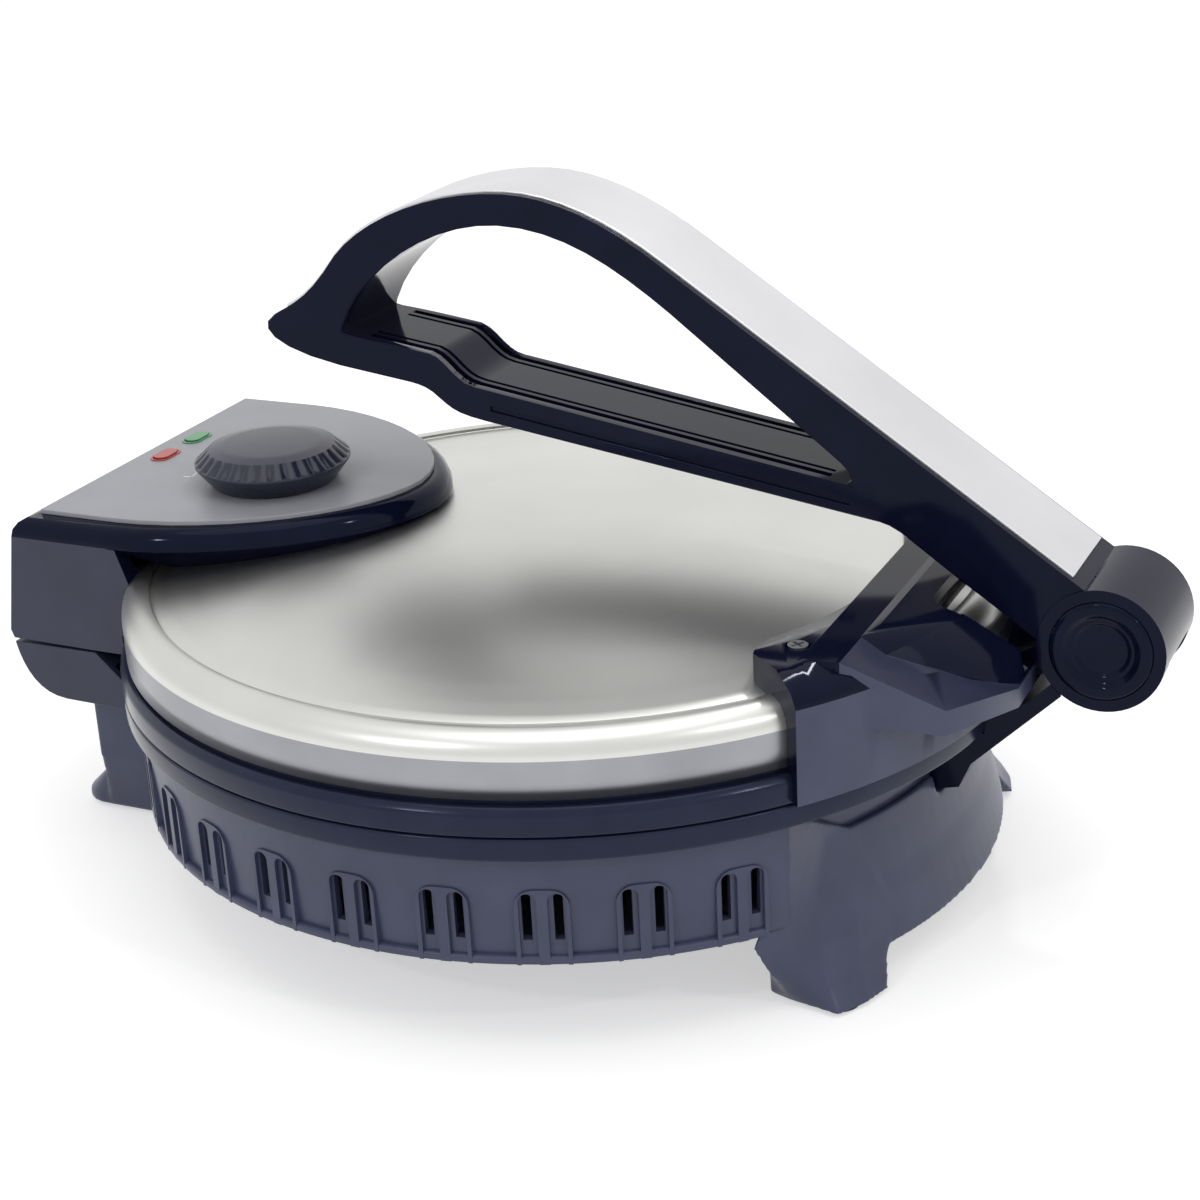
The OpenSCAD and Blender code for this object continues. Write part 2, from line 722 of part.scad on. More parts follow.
module hinge_bracket() {
  color("#14162a") at_pan() difference() {
    union() {
      // collar, drawn from the dome over the rolled edge and down outside the ring
      difference() {
        rotate([0, 0, collar_a]) rotate_extrude(angle = 180 - 2 * collar_a) polygon([
          [103, 92], [103, 95.2], [117, collar_top], [131, collar_top], [138.5, collar_top - 4],
          [141, collar_top - 8], [141, ring_z + 0.2], [131, ring_z + 0.2]
        ]);
        // the ramp stops short of the horns
        mirror_x() linear_extrude(120) polygon([[30, 81.5], [90, 93.6], [90, 60], [30, 60]]);
        // level with the wings
        side_slab(-75.3, 75.3)
          polygon([[114.5, collar_top + 0.02], [114.5, 130], [170, 130], [170, 64.5]]);
        bracket_trough();
      }
      difference() {
        union() {
          bracket_wings();
          bracket_block();
        }
        bracket_trough();
      }
      mirror_x() bracket_lug();
    }
    cover_solid(-0.1);
    translate([0, 0, 50]) cylinder(h = band_z - 50 + 3, r = band_r + 0.1);
    translate([0, 0, 50]) cylinder(h = ring_top - 50 + 0.05, r = rim_r + 0.1);
    // bed of the handle arm when it is pressed down
    side_slab(-arm_hw - 1, arm_hw + 1) polygon([
      [109, 108.8], [128.2, 98.1], [152, 84.6], [152, 112], [109, 112]
    ]);
    // room for the barrel outside the lugs and for the arm of the base between them
    for (s = [-1, 1])
      translate([s * (12 + 10) - 10, hinge_dy, hinge_z]) rotate([0, 90, 0])
        cylinder(h = 20, r = hub_r + 0.4);
    translate([-6.2, hinge_dy, hinge_z]) rotate([0, 90, 0]) cylinder(h = 12.4, r = hub_r + 1.4);
    translate([-30, hinge_dy, hinge_z]) rotate([0, 90, 0]) cylinder(h = 60, r = pin_r + fit);
    // screw seats in the horns
    for (s = [-1, 1])
      rotate([0, 0, 90 - s * 34]) translate([121, 0, collar_top - 1.4])
        cylinder(h = 4, r = 3.3, $fn = 32);
  }
}

module bracket_screws() {
  color("#c4c6cc") at_pan()
    for (s = [-1, 1])
      rotate([0, 0, 90 - s * 34]) translate([121, 0, collar_top - 1.4]) difference() {
        cylinder(h = 1.8, r = 2.8, $fn = 32);
        translate([-2, -0.4, 1]) cube([4, 0.8, 2]);
        translate([-0.4, -2, 1]) cube([0.8, 4, 2]);
      }
}

// Handle: side view in Y and Z, measured from the middle of the plates
crest = concat(
  bez([-86.5, 164], [-77, 169], [-73, 171], [-63, 183.8], 6),
  bez([-63, 183.8], [-52, 196], [-28, 205], [-6, 205], 10),
  bez([-6, 205], [10, 205], [26, 198.5], [42.5, 187.2], 8),
  [[42.5, 187.2], [158, 108.9]]
);
belly = concat(
  [[158, 84], [129.7, 102.9]],
  bez([112.5, 115.1], [109, 117.3], [106.5, 117.6], [103.5, 118], 3),
  bez([-16, 136.2], [-26, 137.8], [-27, 139], [-31, 142], 5),
  bez([-31, 142], [-35, 145.6], [-38, 145.9], [-44, 146.8], 5),
  bez([-64.7, 149.6], [-88, 153.4], [-93.5, 160], [-86.5, 164], 6)
);
loop = concat(
  bez([-62.5, 161.5], [-55, 180], [-30, 195.6], [-8, 195.6], 10),
  bez([-8, 195.6], [12, 195.6], [28, 186], [45, 173.2], 8),
  [[45, 173.2], [95, 134]],
  bez([95, 134], [99.5, 130.4], [99.5, 127], [93, 127.8], 4),
  bez([-14, 145.9], [-22, 147], [-22.5, 147.5], [-26, 150.4], 4),
  bez([-26, 150.4], [-30, 154.2], [-31, 155.8], [-37, 156.7], 4),
  bez([-56, 159.2], [-63, 160.1], [-63.5, 159.5], [-62.5, 161.5], 3)
);
// Top of the lower bar, from the arm to the front, and its lengthwise grooves: x range and depth
bar_top = concat(
  [[91, 128.1]],
  bez([-14, 145.9], [-22, 147], [-22.5, 147.5], [-26, 150.4], 4),
  bez([-26, 150.4], [-30, 154.2], [-31, 155.8], [-37, 156.7], 4),
  [[-37, 156.7], [-55, 159.1]]
);
bar_grooves = [[12.2, 14.8, 1.6], [9, 10.6, 1]];

cover_run = concat(
  [for (i = [1 : 5]) crest[i]],
  [for (i = [6 : len(crest) - 2]) crest[i]],
  [[150, 114.3]]
);

module cover_strip() {
  polygon(concat(shift(cover_run, 0.8), reversed(shift(cover_run, -1.2))));
}

cover_hw = arm_hw - 1.6;

module handle_frame() {
  color("#12142a") at_pan() difference() {
    union() {
      side_slab(-arm_hw, arm_hw) difference() {
        polygon(concat(crest, belly));
        polygon(loop);
      }
      translate([-hub_hl, hinge_dy, hinge_z]) rotate([0, 90, 0]) cylinder(h = 2 * hub_hl, r = hub_r);
    }
    side_slab(-cover_hw, cover_hw) cover_strip();
    // inside of the barrel for the lugs and the arm of the base
    translate([-12, hinge_dy, hinge_z]) rotate([0, 90, 0]) cylinder(h = 24, r = 12.2);
    side_slab(-12, 12) polygon([
      [hinge_dy, hinge_z], [hinge_dy - 18, hinge_z + 3.6], [hinge_dy - 42, hinge_z + 2],
      [hinge_dy - 34, 50], [hinge_dy + 34, 50], [hinge_dy + 40, hinge_z - 7]
    ]);
    translate([-30, hinge_dy, hinge_z]) rotate([0, 90, 0]) cylinder(h = 60, r = pin_r + fit);
    // dished seats of the end caps
    for (s = [-1, 1])
      translate([s * (hub_hl - 1.4) - 1.5, hinge_dy, hinge_z]) rotate([0, 90, 0])
        cylinder(h = 3, r = 14.6);
    for (g = bar_grooves, s = [-1, 1])
      translate([s * (g[0] + g[1]) / 2, 0, 0]) side_slab(-(g[1] - g[0]) / 2, (g[1] - g[0]) / 2)
        polygon(concat(shift(bar_top, g[2]), reversed(shift(bar_top, -1))));
    // grooves along both sides of the lower bar
    for (s = [-1, 1])
      translate([s * arm_hw - 0.8, 0, 0]) side_slab(0, 1.6)
        polygon([[-14, 139.6], [98, 121.6], [98, 123.2], [-14, 141.2]]);
    // clearance of the finger room under the crest screws
    for (y = [20, 90])
      translate([0, y, 60]) cylinder(h = y == 20 ? 76.4 : 65.2, r = 3.4, $fn = 24);
  }
}

module handle_cover() {
  color("#dfe0e4") at_pan() side_slab(-cover_hw + 0.1, cover_hw - 0.1) cover_strip();
}

module hub_caps() {
  color("#1a1c34") at_hinge()
    for (s = [0, 1])
      mirror([0, 0, s]) translate([0, 0, hub_hl - 2.9]) rotate_extrude() polygon([
        [0, 0], [14.4, 0], [14.4, 3.2], [13.4, 3.6], [11, 3.6], [9, 2.2], [8, 2.2], [7.4, 1.4], [0, 1.4]
      ]);
}

module handle_screws() {
  color("#b0b3b8") at_pan()
    for (y = [20, 90])
      translate([0, y, y == 20 ? 133.6 : 122.4]) cylinder(h = 2.6, r = 3, $fn = 24);
}

base_shell();
base_rim();
bottom_cover();
lower_plate();
lower_element();
lower_reflector();
base_posts();
front_housing();
terminal_block();
cord_gland();
front_stand();
rear_stand();
foot_pads();
hinge_arm();
hinge_pin();
lid_cover();
lid_ring();
upper_plate();
upper_element();
lid_insulation();
lid_posts();
control_housing();
control_panel();
red_lens();
green_lens();
indicator_lamps();
thermostat();
hinge_bracket();
bracket_screws();
thermostat_knob();
knob_shaft();
handle_frame();
handle_cover();
hub_caps();
handle_screws();
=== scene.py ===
"""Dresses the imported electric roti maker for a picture: plates, lid, handle, knob and studio."""

import json
import math

import bmesh
import bpy
from bpy.props import FloatProperty, FloatVectorProperty, IntProperty, PointerProperty
from mathutils import Matrix, Vector


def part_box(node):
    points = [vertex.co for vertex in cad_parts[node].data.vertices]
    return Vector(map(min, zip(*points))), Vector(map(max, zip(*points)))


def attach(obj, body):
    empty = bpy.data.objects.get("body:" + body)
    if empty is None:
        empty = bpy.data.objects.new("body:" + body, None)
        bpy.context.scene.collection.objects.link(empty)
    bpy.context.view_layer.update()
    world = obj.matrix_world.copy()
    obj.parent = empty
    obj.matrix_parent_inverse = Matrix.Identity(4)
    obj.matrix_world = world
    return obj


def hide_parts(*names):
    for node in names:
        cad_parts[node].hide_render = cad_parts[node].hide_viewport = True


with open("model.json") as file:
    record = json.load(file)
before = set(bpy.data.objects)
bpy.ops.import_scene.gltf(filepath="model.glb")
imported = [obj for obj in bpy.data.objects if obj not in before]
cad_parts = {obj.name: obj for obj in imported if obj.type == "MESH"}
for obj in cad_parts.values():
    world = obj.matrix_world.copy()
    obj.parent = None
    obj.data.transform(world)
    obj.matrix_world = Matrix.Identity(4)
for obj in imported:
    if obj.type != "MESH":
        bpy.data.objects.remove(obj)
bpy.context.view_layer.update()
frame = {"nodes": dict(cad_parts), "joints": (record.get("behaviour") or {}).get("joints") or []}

bl_info = {
    "name": "Roti Maker Dressing",
    "version": (1, 0, 0),
    "blender": (4, 5, 0),
    "location": "3D View > Sidebar > Roti Maker",
    "description": "Builds the visible pieces, finishes and studio of an electric roti maker",
    "category": "Object",
}

MM = 0.001
FULL_TURN = 2 * math.pi
WELD = 2e-6              # corners of a mesh closer than this, in metres, are one corner

# Where the hinge and knob axes and the middle of the round plates are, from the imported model
JOINT_SPOT = {joint["name"]: Vector(joint["pos_m"]) for joint in frame["joints"]}
HINGE, KNOB = JOINT_SPOT["lid_hinge"], JOINT_SPOT["knob_turn"]
PAN_Y = (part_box("lid_ring")[0].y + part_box("lid_ring")[1].y) / 2


def linear(code, alpha=1.0):
    """Turns an sRGB hex code into the linear colour that a shader takes."""
    parts = [int(code[i:i + 2], 16) / 255 for i in (1, 3, 5)]
    curve = [c / 12.92 if c <= 0.04045 else ((c + 0.055) / 1.055) ** 2.4 for c in parts]
    return (*curve, alpha)


# Sizes and colours that a user would change


class LidSizes(bpy.types.PropertyGroup):
    band_r: FloatProperty(
        name="Band radius", description="Outer radius of the steel band",
        default=0.136, unit="LENGTH", precision=4)
    edge_r: FloatProperty(
        name="Edge roll", description="Radius of the rolled edge between band and dome",
        default=0.007, unit="LENGTH", precision=4)
    dome_rise: FloatProperty(
        name="Dome rise", description="Height of the dome above its edge",
        default=0.010, unit="LENGTH", precision=4)
    steel: FloatProperty(
        name="Steel thickness", description="Thickness of the pressed cover",
        default=0.0012, unit="LENGTH", precision=4)
    steps: IntProperty(
        name="Steps", description="Facets round the cover", default=288, min=96, max=512)


class KnobSizes(bpy.types.PropertyGroup):
    radius: FloatProperty(
        name="Knob radius", description="Largest radius of the knob",
        default=0.0246, unit="LENGTH", precision=4)
    flutes: IntProperty(
        name="Flutes", description="Grip flutes round the knob", default=30, min=12, max=48)
    dots: IntProperty(
        name="Dots", description="Printed dots round the knob's skirt", default=18, min=6, max=36)
    flute_depth: FloatProperty(
        name="Flute depth", description="Depth of a grip flute",
        default=0.0011, unit="LENGTH", precision=4)


class EdgeSizes(bpy.types.PropertyGroup):
    moulding: FloatProperty(
        name="Moulding edge", description="Rounding of the edges of the mouldings",
        default=0.0009, unit="LENGTH", precision=4)
    handle: FloatProperty(
        name="Handle edge", description="Rounding of the edges of the handle's loop",
        default=0.0022, unit="LENGTH", precision=4)
    rim: FloatProperty(
        name="Strip rim", description="Rounding of the thin rims beside the steel strip",
        default=0.0008, unit="LENGTH", precision=4)
    lip_r: FloatProperty(
        name="Lip radius", description="Outer radius of the lip under the vents",
        default=0.13442, unit="LENGTH", precision=5)


class StudioSettings(bpy.types.PropertyGroup):
    key_power: FloatProperty(
        name="Key light", description="Power of the large soft light over the object",
        default=3.6, unit="POWER")
    glint_power: FloatProperty(
        name="Glint lights", description="Power of each small lamp that draws glints on gloss",
        default=1.8, unit="POWER")
    sky: FloatProperty(
        name="Sky level", description="How strongly the white surroundings light the object",
        default=0.64, subtype="FACTOR", min=0, max=1)
    floor_colour: FloatVectorProperty(
        name="Floor colour", description="Colour of the floor",
        default=linear("#e6e6e6")[:3], subtype="COLOR", size=3)


# Mesh helpers


def wire(points, closed=False):
    """A line of straight edges through points given in millimetres as (radius, height)."""
    bm = bmesh.new()
    verts = [bm.verts.new((x * MM, 0, z * MM)) for x, z in points]
    for a, b in zip(verts, verts[1:]):
        bm.edges.new((a, b))
    if closed:
        bm.edges.new((verts[-1], verts[0]))
    return bm


def round_corners(bm, radius, picks=None, segments=4):
    """Rounds the corners of a line; picks are the places of the corners in the line."""
    bm.verts.ensure_lookup_table()
    chosen = [bm.verts[i] for i in picks] if picks is not None else [
        v for v in bm.verts if len(v.link_edges) == 2]
    bmesh.ops.bevel(
        bm, geom=chosen, offset=radius * MM, offset_type="OFFSET", affect="VERTICES",
        segments=segments, profile=0.5, material=-1)


def spin(bm, steps, centre=(0, 0), angle=FULL_TURN):
    """Turns a line round the upright axis through centre (x, y) in metres."""
    bmesh.ops.spin(
        bm, geom=bm.verts[:] + bm.edges[:], cent=(0, 0, 0), axis=(0, 0, 1), dvec=(0, 0, 0),
        angle=angle, steps=steps, use_merge=abs(angle - FULL_TURN) < 1e-6, use_duplicate=False)
    bmesh.ops.remove_doubles(bm, verts=bm.verts[:], dist=WELD)
    shift(bm, *centre)


def close_ends(bm):
    """Caps the open ends of a swept profile."""
    bmesh.ops.holes_fill(bm, edges=[e for e in bm.edges if e.is_boundary], sides=0)


def turn(bm, degrees, axis="Z"):
    """Turns a mesh about an axis through the origin."""
    bmesh.ops.rotate(bm, verts=bm.verts[:], cent=(0, 0, 0),
                     matrix=Matrix.Rotation(math.radians(degrees), 3, axis))


def shift(bm, x, y, z=0.0):
    """Moves a mesh by metres along each axis."""
    bmesh.ops.translate(bm, verts=bm.verts[:], vec=(x, y, z))


def join(bm, other):
    """Adds another mesh to a mesh and frees it."""
    part = bpy.data.meshes.new("part")
    other.to_mesh(part)
    other.free()
    bm.from_mesh(part)
    bpy.data.meshes.remove(part)


def from_cad(node, flat_angle=0.3):
    """A merged copy of a CAD node's mesh, with its flat faces joined up again."""
    bm = bmesh.new()
    bm.from_mesh(frame["nodes"][node].data)
    bmesh.ops.remove_doubles(bm, verts=bm.verts[:], dist=WELD)
    bmesh.ops.dissolve_limit(
        bm, angle_limit=math.radians(flat_angle), use_dissolve_boundaries=False,
        verts=bm.verts[:], edges=bm.edges[:], delimit={"NORMAL"})
    return bm


def piece(bm, name, body, finish, replaces=(), smooth=30, outwards=True):
    """Makes the object of a finished mesh, hangs it on the body it rides on and hides the CAD
    nodes it stands in for.
    """
    if outwards:
        bmesh.ops.recalc_face_normals(bm, faces=bm.faces[:])
    mesh = bpy.data.meshes.new(name)
    bm.to_mesh(mesh)
    bm.free()
    obj = bpy.data.objects.new(name, mesh)
    bpy.context.scene.collection.objects.link(obj)
    mesh.materials.append(finish)
    mesh.shade_smooth()
    mesh.set_sharp_from_angle(angle=math.radians(smooth))
    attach(obj, body)
    if replaces:
        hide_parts(*replaces)
    return obj


def soften(obj, width, segments=3, angle=32):
    """Rounds the sharp edges of a piece and evens out its shading."""
    bevel = obj.modifiers.new("rounded edges", "BEVEL")
    bevel.width = width
    bevel.segments = segments
    bevel.limit_method = "ANGLE"
    bevel.angle_limit = math.radians(angle)
    bevel.use_clamp_overlap = True
    bevel.harden_normals = False
    even = obj.modifiers.new("even shading", "WEIGHTED_NORMAL")
    even.keep_sharp = False
    even.weight = 80
    return obj


# Materials


def add(tree, kind, links=None, values=None, **settings):
    """Adds a node, sets its settings and socket values, and links its inputs."""
    node = tree.nodes.new(kind)
    for key, value in settings.items():
        setattr(node, key, value)
    for key, value in (values or {}).items():
        node.inputs[key].default_value = value
    for key, source in (links or {}).items():
        tree.links.new(source, node.inputs[key])
    return node


def blank(name):
    """A new material with only its output node."""
    material = bpy.data.materials.new(name)
    material.use_nodes = True
    tree = material.node_tree
    tree.nodes.clear()
    return material, tree, tree.nodes.new("ShaderNodeOutputMaterial")


def ramp(tree, source, stops):
    """A colour ramp through (place, hex code) stops."""
    node = add(tree, "ShaderNodeValToRGB", {"Fac": source})
    band = node.color_ramp
    while len(band.elements) < len(stops):
        band.elements.new(0.5)
    for element, (place, code) in zip(band.elements, stops):
        element.position = place
        element.color = linear(code)
    return node


def spread(tree, source, low, high):
    """Spreads a pattern from 0..1 over low..high."""
    return add(tree, "ShaderNodeMapRange", {"Value": source}, {"To Min": low, "To Max": high})


def grain(tree, size_mm, detail):
    """Noise whose cells are about size_mm across, on the object's own coordinates."""
    place = add(tree, "ShaderNodeTexCoord")
    return add(tree, "ShaderNodeTexNoise", {"Vector": place.outputs["Object"]},
               {"Scale": 1 / (size_mm * MM), "Detail": detail})


def mottled(tree, dark, light, size_mm):
    """A colour that drifts between two close shades over patches of about size_mm."""
    cloud = grain(tree, size_mm, 3)
    return cloud, ramp(tree, cloud.outputs["Fac"], [(0.3, dark), (0.7, light)])


def moulded(name, dark, light, rough, texture_mm, bump, ior=1.53, gloss=0.5,
            tint_code="#ffffff"):
    """Moulded plastic: a faint mottling of its colour and the fine texture of its tool."""
    material, tree, out = blank(name)
    cloud, tint = mottled(tree, dark, light, 18)
    fine = grain(tree, texture_mm, 2)
    sheen = spread(tree, cloud.outputs["Fac"], rough * 0.85, rough * 1.15)
    relief = add(
        tree, "ShaderNodeBump", {"Height": fine.outputs["Fac"]},
        {"Strength": bump, "Distance": texture_mm * MM * 0.25})
    shader = add(
        tree, "ShaderNodeBsdfPrincipled",
        {"Base Color": tint.outputs["Color"], "Roughness": sheen.outputs["Result"],
         "Normal": relief.outputs["Normal"]},
        {"IOR": ior, "Specular IOR Level": gloss, "Specular Tint": linear(tint_code)})
    tree.links.new(shader.outputs["BSDF"], out.inputs["Surface"])
    return material


def steel(name, dark, light, rough, line_mm, bump, axis=None, centre=(0, 0)):
    """Stainless steel with brush lines: rings round centre, or lines along one axis."""
    material, tree, out = blank(name)
    place = add(tree, "ShaderNodeTexCoord")
    if axis is None:
        # distance from the middle and height make rings and level lines round a turned piece
        parts = add(tree, "ShaderNodeMapping", {"Vector": place.outputs["Object"]},
                    {"Location": (-centre[0], -centre[1], 0)})
        flat = add(tree, "ShaderNodeVectorMath", {0: parts.outputs["Vector"]},
                   {1: (1, 1, 0)}, operation="MULTIPLY")
        away = add(tree, "ShaderNodeVectorMath", {0: flat.outputs["Vector"]}, operation="LENGTH")
        high = add(tree, "ShaderNodeSeparateXYZ", {"Vector": parts.outputs["Vector"]})
        lines = add(tree, "ShaderNodeCombineXYZ",
                    {"X": away.outputs["Value"], "Z": high.outputs["Z"]})
    else:
        squash = [1.0, 1.0, 1.0]
        squash[axis] = 0.02
        lines = add(tree, "ShaderNodeMapping", {"Vector": place.outputs["Object"]},
                    {"Scale": squash})
    brush = add(tree, "ShaderNodeTexNoise", {"Vector": lines.outputs["Vector"]},
                {"Scale": 1 / (line_mm * MM), "Detail": 2.0})
    tint = mottled(tree, dark, light, 40)[1]
    gloss = spread(tree, brush.outputs["Fac"], rough * 0.8, rough * 1.2)
    relief = add(tree, "ShaderNodeBump", {"Height": brush.outputs["Fac"]},
                 {"Strength": bump, "Distance": line_mm * MM * 0.1})
    shader = add(
        tree, "ShaderNodeBsdfPrincipled",
        {"Base Color": tint.outputs["Color"], "Roughness": gloss.outputs["Result"],
         "Normal": relief.outputs["Normal"]},
        {"Metallic": 1.0})
    tree.links.new(shader.outputs["BSDF"], out.inputs["Surface"])
    return material


def seen_rays(tree):
    """1 for the rays that show a thing directly, in a reflection or through glass, 0 for light."""
    path = add(tree, "ShaderNodeLightPath")
    pair = add(tree, "ShaderNodeMath", {0: path.outputs["Is Camera Ray"],
                                        1: path.outputs["Is Glossy Ray"]}, operation="ADD")
    return add(tree, "ShaderNodeMath", {0: pair.outputs["Value"],
                                        1: path.outputs["Is Transmission Ray"]},
               operation="ADD", use_clamp=True).outputs["Value"]


FINISHES = {}


def finish(name):
    """The finished material of that name; each is made once."""
    if name not in FINISHES:
        FINISHES[name] = MAKERS[name]()
    return FINISHES[name]


def gloss_abs():
    # High-gloss navy-black ABS off a polished tool: deep colour under a hard clear reflection
    return moulded("gloss_navy_abs", "#0b0e22", "#10132a", 0.09, 0.8, 0.02, gloss=0.15,
                   tint_code="#c2cae4")


def satin_abs():
    # Spark-textured ABS: the fine pitting spreads the light, so the navy turns to slate
    return moulded("satin_slate_abs", "#3f435c", "#484d67", 0.34, 0.35, 0.2, gloss=0.35)


def housing_abs():
    # The same ABS with a finer spark texture on the flat sides of the boxes: darker and closer
    return moulded("fine_slate_abs", "#2b2e44", "#32354c", 0.32, 0.3, 0.15, gloss=0.35)


def ring_abs():
    # The rings, turned out of the same ABS: a softer gloss that shows as a pale line on each edge
    return moulded("half_gloss_abs", "#1b1e33", "#22263c", 0.2, 0.5, 0.04, gloss=0.3,
                   tint_code="#c4cdea")


def knob_abs():
    # Semi-gloss ABS, a little softer than the housing from handling
    return moulded("semi_gloss_abs", "#1d2033", "#262a3e", 0.28, 0.4, 0.08, gloss=0.4)


def panel_paint():
    # Metallic grey paint on ABS: small flakes give a soft, even sheen
    return moulded("metallic_grey_paint", "#94969c", "#9c9ea4", 0.4, 0.25, 0.08, gloss=0.5)


def polished_steel():
    # Pressed stainless steel, polished on a turntable: soft reflections and very faint rings
    return steel("polished_stainless", "#cfcfcc", "#d6d6d2", 0.33, 0.25, 0.03, centre=(0, PAN_Y))


def band_steel_painted_dark():
    # The same steel with the level brush lines of its rolling; its colour is darkened as a painted
    # reflection of the dark surroundings that the upright band faces
    return steel("brushed_stainless_painted_dark", "#8e8f94", "#a0a1a6", 0.34, 0.16, 0.16, centre=(0, PAN_Y))


def satin_steel():
    # Satin stainless strip, ground along its length: long fine lines
    return steel("satin_stainless", "#d6d6d9", "#dedee1", 0.34, 0.16, 0.1, axis=1)


def zinc_steel():
    # Zinc-plated steel of screws, pins and posts: bright, slightly blue and a little rough
    return steel("zinc_plated_steel", "#a9abb0", "#b5b7bc", 0.3, 0.4, 0.1, axis=2)


def nonstick():
    # PTFE coating on cast aluminium: near-black, pebbly and half matt
    return moulded("ptfe_coating", "#17171a", "#1e1e22", 0.45, 0.7, 0.5, ior=1.38)


def bare_aluminium():
    # Mill-finish aluminium sheet: pale grey with its rolling lines
    return steel("mill_aluminium", "#b2b5ba", "#bfc2c6", 0.38, 0.3, 0.1, axis=0)


def tube_sheath():
    # Steel heating tube annealed to a brown-grey oxide
    return steel("annealed_tube_steel", "#4c443c", "#6b6156", 0.5, 0.5, 0.2, axis=0)


def ceramic_wool():
    # Pressed ceramic wool: matt cream with a loose fibre surface
    return moulded("ceramic_wool", "#d0c8b2", "#e0d9c6", 0.95, 0.9, 0.9, ior=1.45)


def pad_rubber():
    # Natural rubber pads: black and almost without gloss
    return moulded("black_rubber", "#131314", "#19191a", 0.75, 0.5, 0.3, ior=1.52)


def terminal_plastic():
    # Melamine terminal block: cream with a slight gloss
    return moulded("cream_melamine", "#d2ccba", "#dcd7c8", 0.4, 0.6, 0.1)


def thermostat_brass():
    # Yellow-passivated steel case of the thermostat
    return steel("passivated_steel", "#b49a5c", "#c7ae70", 0.35, 0.4, 0.1, axis=2)


def red_lens():
    # Transparent red polycarbonate lamp lens
    return moulded("red_polycarbonate", "#a8342c", "#b53c33", 0.15, 0.5, 0.02, ior=1.58)


def green_lens():
    # Transparent green polycarbonate lamp lens
    return moulded("green_polycarbonate", "#3f8a5a", "#4a9866", 0.15, 0.5, 0.02, ior=1.58)


def lamp_glass():
    # Neon lamp glass, seen only through the lens
    return moulded("lamp_glass", "#d8b48a", "#e6c8a0", 0.1, 1.0, 0.02, ior=1.5)


def dial_ink():
    # White pad-printed ink: matt and slightly broken at its edges
    return moulded("white_print_ink", "#dcdcdf", "#e8e8ea", 0.55, 0.3, 0.1)


MAKERS = {
    "gloss_abs": gloss_abs, "satin_abs": satin_abs, "housing_abs": housing_abs,
    "ring_abs": ring_abs, "knob_abs": knob_abs,
    "panel_paint": panel_paint, "polished_steel": polished_steel, "band_steel_painted_dark": band_steel_painted_dark,
    "satin_steel": satin_steel, "zinc_steel": zinc_steel, "nonstick": nonstick,
    "bare_aluminium": bare_aluminium, "tube_sheath": tube_sheath, "ceramic_wool": ceramic_wool,
    "pad_rubber": pad_rubber, "terminal_plastic": terminal_plastic,
    "thermostat_brass": thermostat_brass, "red_lens": red_lens, "green_lens": green_lens,
    "lamp_glass": lamp_glass, "dial_ink": dial_ink,
}

# The finish of each CAD node that is shown as it is
NODE_FINISH = {
    "base_shell": "satin_abs", "base_rim": "ring_abs", "bottom_cover": "satin_abs",
    "lower_plate": "nonstick", "lower_element": "tube_sheath",
    "lower_reflector": "bare_aluminium", "base_posts": "zinc_steel",
    "front_housing": "housing_abs", "terminal_block": "terminal_plastic",
    "cord_gland": "pad_rubber", "front_stand": "satin_abs", "rear_stand": "satin_abs",
    "foot_pads": "pad_rubber", "hinge_arm": "gloss_abs", "hinge_pin": "zinc_steel",
    "lid_cover": "polished_steel", "lid_ring": "ring_abs", "upper_plate": "nonstick",
    "upper_element": "tube_sheath", "lid_insulation": "ceramic_wool", "lid_posts": "zinc_steel",
    "control_housing": "gloss_abs", "control_panel": "panel_paint", "red_lens": "red_lens",
    "green_lens": "green_lens", "indicator_lamps": "lamp_glass",
    "thermostat": "thermostat_brass", "hinge_bracket": "gloss_abs",
    "bracket_screws": "zinc_steel", "thermostat_knob": "knob_abs", "knob_shaft": "zinc_steel",
    "handle_frame": "gloss_abs", "handle_cover": "satin_steel", "hub_caps": "gloss_abs",
    "handle_screws": "zinc_steel",
}


# Operators, one for each piece or group of like pieces


class ROTI_OT_node_finishes(bpy.types.Operator):
    """Gives each CAD node the finish of its real material"""
    bl_idname = "roti.node_finishes"
    bl_label = "Finish the CAD nodes"

    def execute(self, context):
        for name, obj in frame["nodes"].items():
            obj.data.materials.clear()
            obj.data.materials.append(finish(NODE_FINISH[name]))
        return {"FINISHED"}


